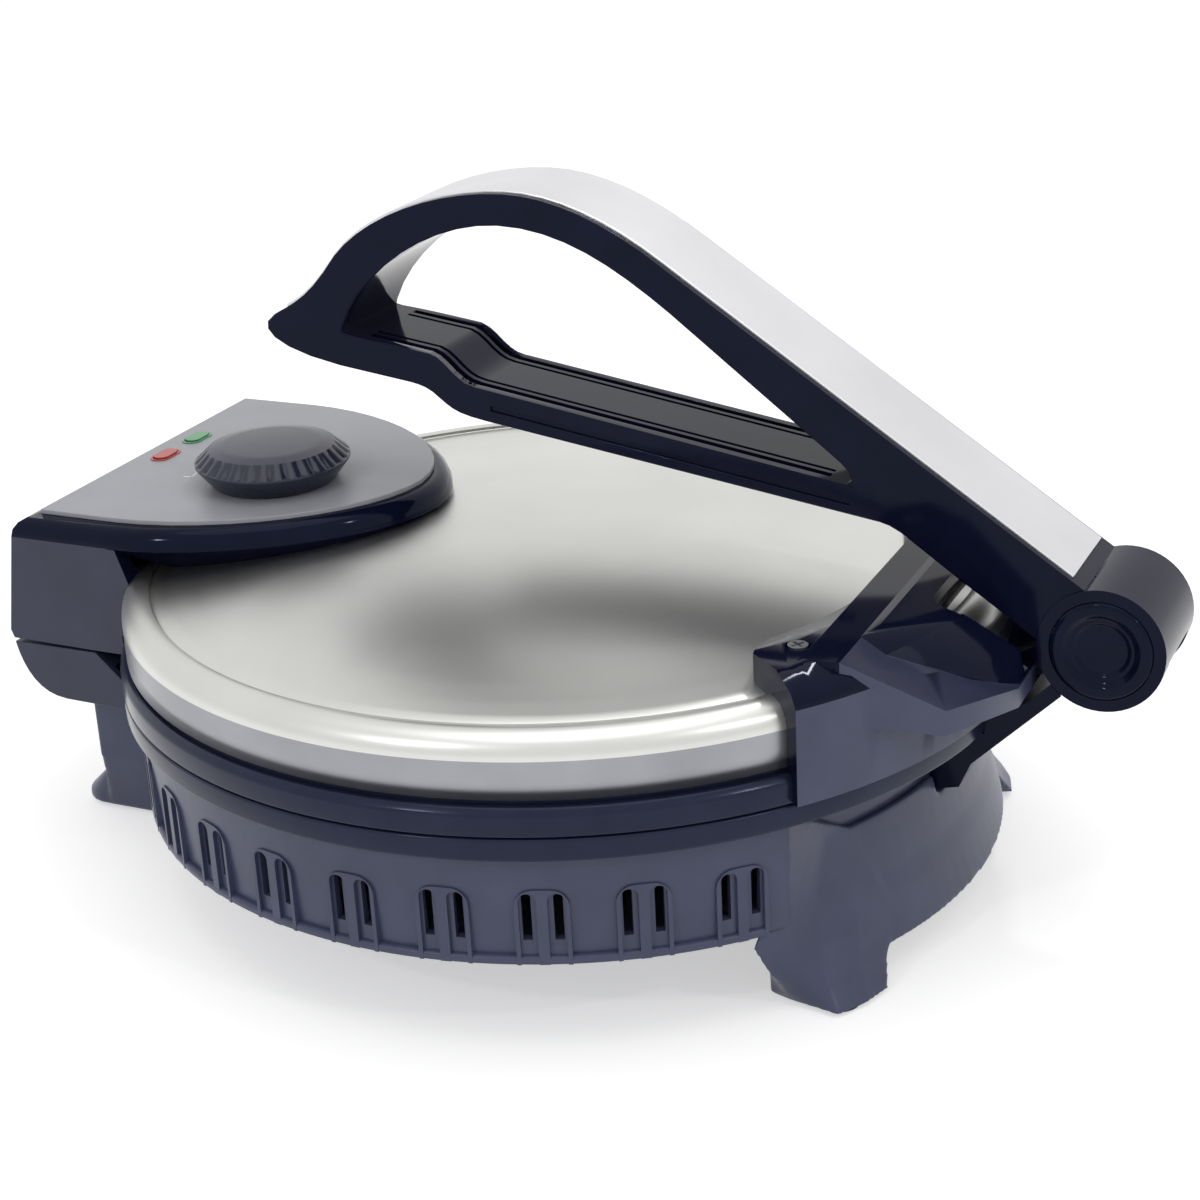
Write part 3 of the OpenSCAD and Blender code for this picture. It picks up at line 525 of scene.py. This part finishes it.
class ROTI_OT_lid_dome(bpy.types.Operator):
    """Spins the pressed steel cover: brushed band, rolled edge, groove and shallow dome"""
    bl_idname = "roti.lid_dome"
    bl_label = "Make the steel cover"

    def execute(self, context):
        sizes = context.scene.roti_lid
        band, edge, rise = sizes.band_r / MM, sizes.edge_r / MM, sizes.dome_rise / MM
        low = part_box("lid_cover")[0].z / MM
        # the roll starts above the upright band, and the groove lies inside the roll
        roll_z = low + 10.9
        groove_r, groove_z = band - edge - 2.5, roll_z + edge - 1.3
        ball = (groove_r ** 2 + rise ** 2) / (2 * rise)
        turned = [(band - edge + edge * math.cos(math.radians(a)),
                   roll_z + edge * math.sin(math.radians(a))) for a in range(0, 106, 7)]
        rings = 24
        radii = [groove_r * (1 - i / rings) for i in range(rings + 1)]
        dome = [(r, groove_z + rise - ball + math.sqrt(ball ** 2 - r ** 2)) for r in radii]
        # a pressed groove parts the roll from the dome
        groove = [(groove_r + 1.3, groove_z - 0.1), (groove_r + 0.7, groove_z - 0.8)]
        bm = wire([(band, low), (band, (low + roll_z) / 2)] + turned + groove + dome)
        spin(bm, sizes.steps, (0, PAN_Y))
        obj = piece(bm, "steel_cover", "lid", finish("polished_steel"),
                    ["lid_cover"], smooth=40)
        # the band below the roll takes the darker steel, whose colour is a painted reflection of
        # dark surroundings
        obj.data.materials.append(finish("band_steel_painted_dark"))
        inside_band = 0.13
        for face in obj.data.polygons:
            away = math.hypot(face.center.x, face.center.y - PAN_Y)
            if face.center.z < roll_z * MM and away > inside_band:
                face.material_index = 1
        wall = obj.modifiers.new("sheet", "SOLIDIFY")
        wall.thickness = sizes.steel
        wall.offset = -1
        wall.use_even_offset = True
        return {"FINISHED"}


class ROTI_OT_rings(bpy.types.Operator):
    """Spins the two dark rings that meet under the band"""
    bl_idname = "roti.rings"
    bl_label = "Make the rings"

    def execute(self, context):
        steps = context.scene.roti_lid.steps
        # radii in millimetres: the plates' edge, and the collar that holds the band
        plate_r, collar_in, collar_out = 127.3, 132.4, 134.6
        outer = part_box("lid_ring")[1].x / MM
        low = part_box("lid_ring")[0].z / MM
        high = low + 8.3
        bm = wire([(plate_r, low), (outer, low), (outer, high - 2), (outer - 1.6, high),
                   (collar_out, high), (collar_out, high + 8), (collar_in, high + 8),
                   (collar_in, high - 2), (plate_r, high - 2)], closed=True)
        round_corners(bm, 0.7, [1, 2, 3])
        spin(bm, steps, (0, PAN_Y))
        piece(bm, "lid_ring_moulding", "lid", finish("ring_abs"), ["lid_ring"])

        low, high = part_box("base_rim")[0].z / MM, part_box("base_rim")[1].z / MM
        bm = wire([(120, low), (outer, low), (outer, high), (plate_r, high),
                   (plate_r, low + 2), (120, low + 2)], closed=True)
        round_corners(bm, 0.8, [1, 2])
        round_corners(bm, 0.3, [3])
        spin(bm, steps, (0, PAN_Y))
        piece(bm, "base_rim_moulding", "base", finish("ring_abs"), ["base_rim"])
        return {"FINISHED"}


class ROTI_OT_wall_lip(bpy.types.Operator):
    """Sweeps the lip that closes the lower ends of the vents"""
    bl_idname = "roti.wall_lip"
    bl_label = "Make the wall's lip"

    def execute(self, context):
        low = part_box("base_shell")[0].z / MM
        wall = context.scene.roti_edges.lip_r / MM
        bm = wire([(wall - 3.4, low), (wall, low), (wall, low + 1.9), (wall - 1.2, low + 2.6),
                   (wall - 3.4, low + 2.6)], closed=True)
        round_corners(bm, 0.5, [1, 2, 3], 3)
        # the lip runs from one flank of the rear stand round the front to the other
        start, sweep = 132.4, 275.2
        turn(bm, start)
        spin(bm, 240, (0, PAN_Y), math.radians(sweep))
        close_ends(bm)
        piece(bm, "wall_lip", "base", finish("satin_abs"))
        return {"FINISHED"}


class ROTI_OT_dial_marks(bpy.types.Operator):
    """Prints the scale round the knob on the panel and the dots on the knob's skirt"""
    bl_idname = "roti.dial_marks"
    bl_label = "Print the dial marks"

    def execute(self, context):
        sizes = context.scene.roti_knob
        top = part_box("control_panel")[1].z / MM
        ink, start, sweep, ticks = 0.05, 180, 102, 6
        bm = bmesh.new()
        # a thin arc, and a tick at each step of the scale with longer ones at its ends
        arc = wire([(27.7, top), (28.2, top), (28.2, top + ink), (27.7, top + ink)], closed=True)
        turn(arc, start)
        spin(arc, 48, KNOB.xy, math.radians(sweep))
        close_ends(arc)
        join(bm, arc)
        for i in range(ticks):
            long = 2.2 if i in (0, ticks - 1) else 1.4
            tick = bmesh.new()
            bmesh.ops.create_grid(tick, x_segments=1, y_segments=1, size=0.5)
            bmesh.ops.scale(tick, verts=tick.verts[:], vec=(long * MM, 0.7 * MM, 1))
            shift(tick, (28.6 + long / 2) * MM, 0, (top + ink) * MM)
            bmesh.ops.solidify(tick, geom=tick.faces[:], thickness=ink * MM)
            turn(tick, start + sweep * i / (ticks - 1))
            shift(tick, *KNOB.xy)
            join(bm, tick)
        piece(bm, "panel_scale", "lid", finish("dial_ink"))

        # dots on the lower cone of the knob
        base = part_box("thermostat_knob")[0].z / MM
        radius = sizes.radius / MM
        cone_angle = 38
        dots = bmesh.new()
        for i in range(sizes.dots):
            dot = bmesh.new()
            bmesh.ops.create_circle(dot, cap_ends=True, segments=14, radius=0.6 * MM)
            bmesh.ops.solidify(dot, geom=dot.faces[:], thickness=0.06 * MM)
            turn(dot, 90 + cone_angle, "Y")
            shift(dot, (radius - 2.35) * MM, 0, (base + 3.4) * MM)
            turn(dot, 360 * (i + 0.2) / sizes.dots)
            shift(dot, *KNOB.xy)
            join(dots, dot)
        piece(dots, "knob_dots", "knob", finish("dial_ink"))
        return {"FINISHED"}


# The sloping top of the bracket's wings: metres behind the middle of the plates, and height
WING_LINE = [(0.1145, 0.104), (0.1395, 0.088), (0.1505, 0.0824)]


def wing_top(y):
    """Height of the bracket's wings at y behind the middle of the plates, or -1 outside them."""
    for (y0, z0), (y1, z1) in zip(WING_LINE, WING_LINE[1:]):
        if y0 <= y <= y1:
            return z0 + (z1 - z0) * (y - y0) / (y1 - y0)
    return -1


class ROTI_OT_mouldings(bpy.types.Operator):
    """Rounds the edges of the plastic mouldings that keep their CAD shape"""
    bl_idname = "roti.mouldings"
    bl_label = "Soften the mouldings"

    def texture_box(self, obj):
        """Spark texture on the flat sides of the box; its shoulders and neck stay gloss."""
        obj.data.materials.append(finish("housing_abs"))
        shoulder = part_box("control_housing")[1].z - 0.0068
        neck = PAN_Y - 0.117
        for face in obj.data.polygons:
            flat = abs(face.normal.x) > 0.9 or face.normal.y < -0.9
            if flat and face.center.z < shoulder and face.center.y < neck:
                face.material_index = 1

    def paint_bracket_light_and_shade(self, obj):
        """Painted light and shade: the outward sides of the collar take the lighter satin slate
        and the sloping tops of the wings the fine slate, while the collar's ends and the walls
        stay dark gloss.
        """
        obj.data.materials.append(finish("satin_abs"))
        obj.data.materials.append(finish("housing_abs"))
        collar_r, close = 0.137, 0.0008
        for face in obj.data.polygons:
            spot = Vector((face.center.x, face.center.y - PAN_Y, 0))
            if abs(face.normal.z) < 0.15 and spot.length > collar_r:
                # outward faces are painted lighter, as if lit; the ends facing sideways stay dark
                # gloss as if in shade
                face.material_index = int(face.normal.dot(spot.normalized()) > 0.4)
            elif abs(face.center.z - wing_top(spot.y)) < close:
                # the wing tops are painted lighter than the shaded walls beside them
                face.material_index = 2

    def execute(self, context):
        sizes = context.scene.roti_edges
        # node, body, slot, rounding, and the least fold that is rounded: the bracket's
        # shallow folds stay as they are, for a bevel would fray there
        jobs = [
            ("base_shell", "base", "slate_plastic", 0.0004, 32),
            ("front_housing", "base", "black_plastic", sizes.moulding, 32),
            ("hinge_arm", "base", "black_plastic", 0.0005, 32),
            ("control_housing", "lid", "black_plastic", 0.0010, 32),
            ("control_panel", "lid", "panel_grey", 0.0003, 32),
            ("hinge_bracket", "lid", "black_plastic", 0.0003, 55),
        ]
        for node, body, slot, width, fold in jobs:
            obj = piece(from_cad(node), node + "_moulding", body,
                        finish(NODE_FINISH[node]), [node], outwards=False)
            if node == "control_housing":
                self.texture_box(obj)
            if node == "hinge_bracket":
                self.paint_bracket_light_and_shade(obj)
            soften(obj, width, angle=fold)
        return {"FINISHED"}


class ROTI_OT_stands(bpy.types.Operator):
    """Rounds the front and rear stands all over, as their thick soft mouldings are"""
    bl_idname = "roti.stands"
    bl_label = "Make the stands"

    def execute(self, context):
        for node, voxel, rounds in (("rear_stand", 0.0007, 12), ("front_stand", 0.0008, 6)):
            obj = piece(from_cad(node), node + "_moulding", "base",
                        finish("satin_abs"), [node], smooth=180, outwards=False)
            skin = obj.modifiers.new("even skin", "REMESH")
            skin.mode = "VOXEL"
            skin.voxel_size = voxel
            skin.use_smooth_shade = True
            relax = obj.modifiers.new("rounded all over", "SMOOTH")
            relax.factor = 0.5
            relax.iterations = rounds
        return {"FINISHED"}


class ROTI_OT_handle(bpy.types.Operator):
    """Brings the arm and its steel strip down to the barrel and rounds the edges of the loop"""
    bl_idname = "roti.handle"
    bl_label = "Make the handle"

    def execute(self, context):
        sizes = context.scene.roti_edges
        # the way down the arm, where its heel and its strip end, and how far each is brought down
        slope = Vector((0, 0.828, -0.561))
        heel, strip_end = PAN_Y + 0.158, PAN_Y + 0.150
        heel_run, bed_run, strip_run = 0.0083, 0.0137, 0.0135
        at_heel, at_strip_end = 2e-4, 1.2e-3

        bm = from_cad("handle_frame")
        top = max(v.co.z for v in bm.verts if abs(v.co.y - heel) < at_heel)
        for v in bm.verts:
            if abs(v.co.y - heel) < at_heel and v.co.z > top - 1e-3:
                v.co += slope * heel_run
            elif abs(v.co.y - strip_end) < at_strip_end and v.co.z > top:
                v.co += slope * bed_run
        # the edges between a side of the loop and a wide face or one of the slim rims
        side = max(abs(v.co.x) for v in bm.verts if v.co.z > top + 0.02)
        wide, slim = [], []
        for edge in bm.edges:
            off_side = any(abs(abs(v.co.x) - side) > 5e-5 for v in edge.verts)
            if len(edge.link_faces) != 2 or off_side:
                continue
            flat = [f for f in edge.link_faces if abs(f.normal.x) > 0.99]
            across = [f for f in edge.link_faces if abs(f.normal.x) < 0.3]
            if len(flat) == 1 and len(across) == 1:
                xs = [v.co.x for v in across[0].verts]
                (wide if max(xs) - min(xs) > 0.003 else slim).append(edge)
        for edges, width in ((slim, sizes.rim), (wide, sizes.handle)):
            bmesh.ops.bevel(
                bm, geom=[e for e in edges if e.is_valid], offset=width, offset_type="OFFSET",
                affect="EDGES", segments=4, profile=0.5, material=-1, clamp_overlap=True)
        frame_piece = piece(bm, "handle_frame_moulding", "handle",
                            finish("gloss_abs"), ["handle_frame"], smooth=35, outwards=False)
        even = frame_piece.modifiers.new("even shading", "WEIGHTED_NORMAL")
        even.keep_sharp = True

        bm = from_cad("handle_cover")
        for v in bm.verts:
            if abs(v.co.y - strip_end) < at_strip_end:
                v.co += slope * strip_run
        strip = piece(bm, "handle_strip", "handle", finish("satin_steel"),
                      ["handle_cover"], outwards=False)
        soften(strip, 0.0004)
        return {"FINISHED"}


class ROTI_OT_lamp_rings(bpy.types.Operator):
    """Makes the coloured oval rims round the two lamp lenses"""
    bl_idname = "roti.lamp_rings"
    bl_label = "Make the lamp rims"

    def execute(self, context):
        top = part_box("control_panel")[1].z
        half_straight = 0.0028
        for colour in ("red", "green"):
            node = colour + "_lens"
            low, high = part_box(node)
            middle = (low + high) / 2
            bm = bmesh.new()
            bmesh.ops.create_circle(bm, cap_ends=True, segments=48, radius=0.0034)
            for v in bm.verts:
                v.co.x += math.copysign(half_straight, v.co.x) if abs(v.co.x) > 1e-6 else 0
            face = bm.faces[:]
            bmesh.ops.inset_region(
                bm, faces=face, thickness=0.0008, use_boundary=True, use_even_offset=True)
            bmesh.ops.delete(bm, geom=face, context="FACES")
            bmesh.ops.solidify(bm, geom=bm.faces[:], thickness=0.00035)
            shift(bm, middle.x, middle.y, top - min(v.co.z for v in bm.verts))
            rim = piece(bm, node + "_rim", "lid", finish(node))
            soften(rim, 0.00012, 2)
        return {"FINISHED"}


class ROTI_OT_knob(bpy.types.Operator):
    """Spins the thermostat knob and presses its grip flutes in"""
    bl_idname = "roti.knob"
    bl_label = "Make the knob"

    def execute(self, context):
        sizes = context.scene.roti_knob
        steps = sizes.flutes * 8
        radius = sizes.radius / MM
        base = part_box("thermostat_knob")[0].z / MM
        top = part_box("thermostat_knob")[1].z / MM
        bm = wire([(0, base), (radius - 5, base), (radius - 0.3, base + 6), (radius, base + 6.6),
                   (radius - 0.3, base + 7.2), (radius - 2.6, top - 2.6),
                   (radius - 4.6, top - 0.8), (radius - 9, top + 0.1), (0, top + 0.7)])
        round_corners(bm, 0.5, [1, 3], 3)
        round_corners(bm, 1.2, [5, 6], 3)
        spin(bm, steps)
        grip_r, grip_z = (radius - 5.2) * MM, (base + 7.1) * MM
        fade_end, fade_run = top * MM - 0.0006, 0.0016
        for v in bm.verts:
            r = math.hypot(v.co.x, v.co.y)
            if r > grip_r and v.co.z > grip_z:
                # the flutes fade out at the shoulder under the smooth dome
                fade = min(1, max(0, (fade_end - v.co.z) / fade_run))
                wave = 0.5 + 0.5 * math.cos(sizes.flutes * math.atan2(v.co.y, v.co.x))
                v.co.xy *= 1 - fade * sizes.flute_depth * (1 - wave) ** 2 / r
        shift(bm, *KNOB.xy)
        piece(bm, "fluted_knob", "knob", finish("knob_abs"), ["thermostat_knob"])
        return {"FINISHED"}


class ROTI_OT_hub_caps(bpy.types.Operator):
    """Spins the dished caps in the ends of the hinge barrel"""
    bl_idname = "roti.hub_caps"
    bl_label = "Make the hub caps"

    def execute(self, context):
        for side, name in ((1, "hub_cap_right"), (-1, "hub_cap_left")):
            bm = wire([(0, 16.5), (7.2, 16.5), (8, 17.2), (9.4, 17.4), (11, 18.7), (13.4, 18.7),
                       (14.4, 18.2), (14.4, 15.1), (0, 15.1)])
            round_corners(bm, 0.5, [1, 2, 3, 4, 5, 6], 3)
            spin(bm, 96)
            turn(bm, 90 * side, "Y")
            shift(bm, *HINGE)
            replaced = ["hub_caps"] if side == 1 else []
            piece(bm, name, "handle", finish("gloss_abs"), replaced)
        return {"FINISHED"}


class ROTI_OT_studio(bpy.types.Operator):
    """Sets up the camera, the pale floor, the soft lights and the white surroundings"""
    bl_idname = "roti.studio"
    bl_label = "Set up the studio"

    def execute(self, context):
        settings = context.scene.roti_studio
        scene = context.scene
        scene.view_settings.view_transform = "Standard"

        # camera where the photograph was taken from, with its slight roll
        round_z, rise, roll = math.radians(115.302), math.radians(22.225), math.radians(2.897)
        back = Vector((math.sin(round_z) * math.cos(rise), -math.cos(round_z) * math.cos(rise),
                       math.sin(rise)))
        right = Vector((math.cos(round_z), math.sin(round_z), 0))
        up = back.cross(right)
        cam_x = right * math.cos(roll) - up * math.sin(roll)
        cam_y = right * math.sin(roll) + up * math.cos(roll)
        lens = bpy.data.cameras.new("camera")
        lens.lens = 72
        lens.sensor_width = 36
        lens.shift_x = -0.0114
        lens.shift_y = 0.0030
        lens.clip_start = 0.02
        lens.clip_end = 40
        camera = bpy.data.objects.new("camera", lens)
        scene.collection.objects.link(camera)
        camera.matrix_world = Matrix.Translation((0.618, 0.307 + PAN_Y, 0.3581)) @ Matrix(
            (cam_x, cam_y, back)).transposed().to_4x4()
        scene.camera = camera

        # floor: takes the soft shadow, and reads as white to the camera and in reflections
        bm = bmesh.new()
        bmesh.ops.create_grid(bm, x_segments=1, y_segments=1, size=6)
        mesh = bpy.data.meshes.new("floor")
        bm.to_mesh(mesh)
        bm.free()
        floor = bpy.data.objects.new("floor", mesh)
        scene.collection.objects.link(floor)
        material, tree, out = blank("matt_white_floor")
        lift = add(tree, "ShaderNodeMath", {0: seen_rays(tree)}, {1: 0.5}, operation="MULTIPLY")
        paint = add(tree, "ShaderNodeBsdfDiffuse",
                    values={"Color": (*settings.floor_colour, 1)})
        glow = add(tree, "ShaderNodeEmission", {"Strength": lift.outputs["Value"]})
        both = add(tree, "ShaderNodeAddShader", {0: paint.outputs["BSDF"],
                                                 1: glow.outputs["Emission"]})
        tree.links.new(both.outputs["Shader"], out.inputs["Surface"])
        floor.data.materials.append(material)

        # surroundings: white where they are seen or mirrored, softer as a light
        world = bpy.data.worlds.new("white_studio")
        scene.world = world
        world.use_nodes = True
        tree = world.node_tree
        tree.nodes.clear()
        out = tree.nodes.new("ShaderNodeOutputWorld")
        level = spread(tree, seen_rays(tree), settings.sky, 1.0)
        sky = add(tree, "ShaderNodeBackground", {"Strength": level.outputs["Result"]},
                  {"Color": (1, 1, 1, 1)})
        tree.links.new(sky.outputs["Background"], out.inputs["Surface"])

        # one large soft light, and small lamps whose mirror images are the glints on gloss
        lamps = [
            ("key_light", (0.2, 0.1, 1.4), (0, 0, 0.05), 1.2, settings.key_power),
            ("glint_right", (0.5, 1.3, 1.1), (0, 0, 0.1), 0.09, settings.glint_power),
            ("glint_left", (1.25, -0.35, 0.95), (0, 0, 0.1), 0.09, settings.glint_power),
            ("glint_back", (-0.7, 0.2, 1.2), (0, 0, 0.1), 0.12, settings.glint_power),
        ]
        for name, spot, target, size, power in lamps:
            light = bpy.data.lights.new(name, "AREA")
            light.shape = "DISK"
            light.size = size
            light.energy = power
            lamp = bpy.data.objects.new(name, light)
            scene.collection.objects.link(lamp)
            lamp.location = spot
            away = Vector(spot) - Vector(target)
            lamp.rotation_euler = away.to_track_quat("Z", "Y").to_euler()
        return {"FINISHED"}


class ROTI_PT_sidebar(bpy.types.Panel):
    """Lists the steps and the sizes that they use"""
    bl_idname = "ROTI_PT_sidebar"
    bl_label = "Roti Maker"
    bl_space_type = "VIEW_3D"
    bl_region_type = "UI"
    bl_category = "Roti Maker"

    def draw(self, context):
        column = self.layout.column()
        for step in STEPS:
            column.operator(step.bl_idname)
        for group in ("roti_lid", "roti_knob", "roti_edges", "roti_studio"):
            settings = getattr(context.scene, group)
            for key in settings.bl_rna.properties.keys():
                if key not in {"rna_type", "name"}:
                    column.prop(settings, key)


GROUPS = {"roti_lid": LidSizes, "roti_knob": KnobSizes, "roti_edges": EdgeSizes,
          "roti_studio": StudioSettings}
STEPS = [ROTI_OT_node_finishes, ROTI_OT_lid_dome, ROTI_OT_rings, ROTI_OT_wall_lip,
         ROTI_OT_mouldings, ROTI_OT_stands, ROTI_OT_handle, ROTI_OT_lamp_rings, ROTI_OT_knob,
         ROTI_OT_dial_marks, ROTI_OT_hub_caps, ROTI_OT_studio]


def register():
    """Registers the classes and hangs each group of sizes on the scene."""
    for group in GROUPS.values():
        bpy.utils.register_class(group)
    for key, group in GROUPS.items():
        setattr(bpy.types.Scene, key, PointerProperty(type=group))
    for step in STEPS:
        bpy.utils.register_class(step)
    bpy.utils.register_class(ROTI_PT_sidebar)


def unregister():
    """Takes everything back that register added."""
    bpy.utils.unregister_class(ROTI_PT_sidebar)
    for step in reversed(STEPS):
        bpy.utils.unregister_class(step)
    for key in GROUPS:
        delattr(bpy.types.Scene, key)
    for group in reversed(list(GROUPS.values())):
        bpy.utils.unregister_class(group)


def main():
    """Runs every step in order."""
    register()
    for step in STEPS:
        family, name = step.bl_idname.split(".")
        getattr(getattr(bpy.ops, family), name)()


if __name__ == "__main__":
    main()
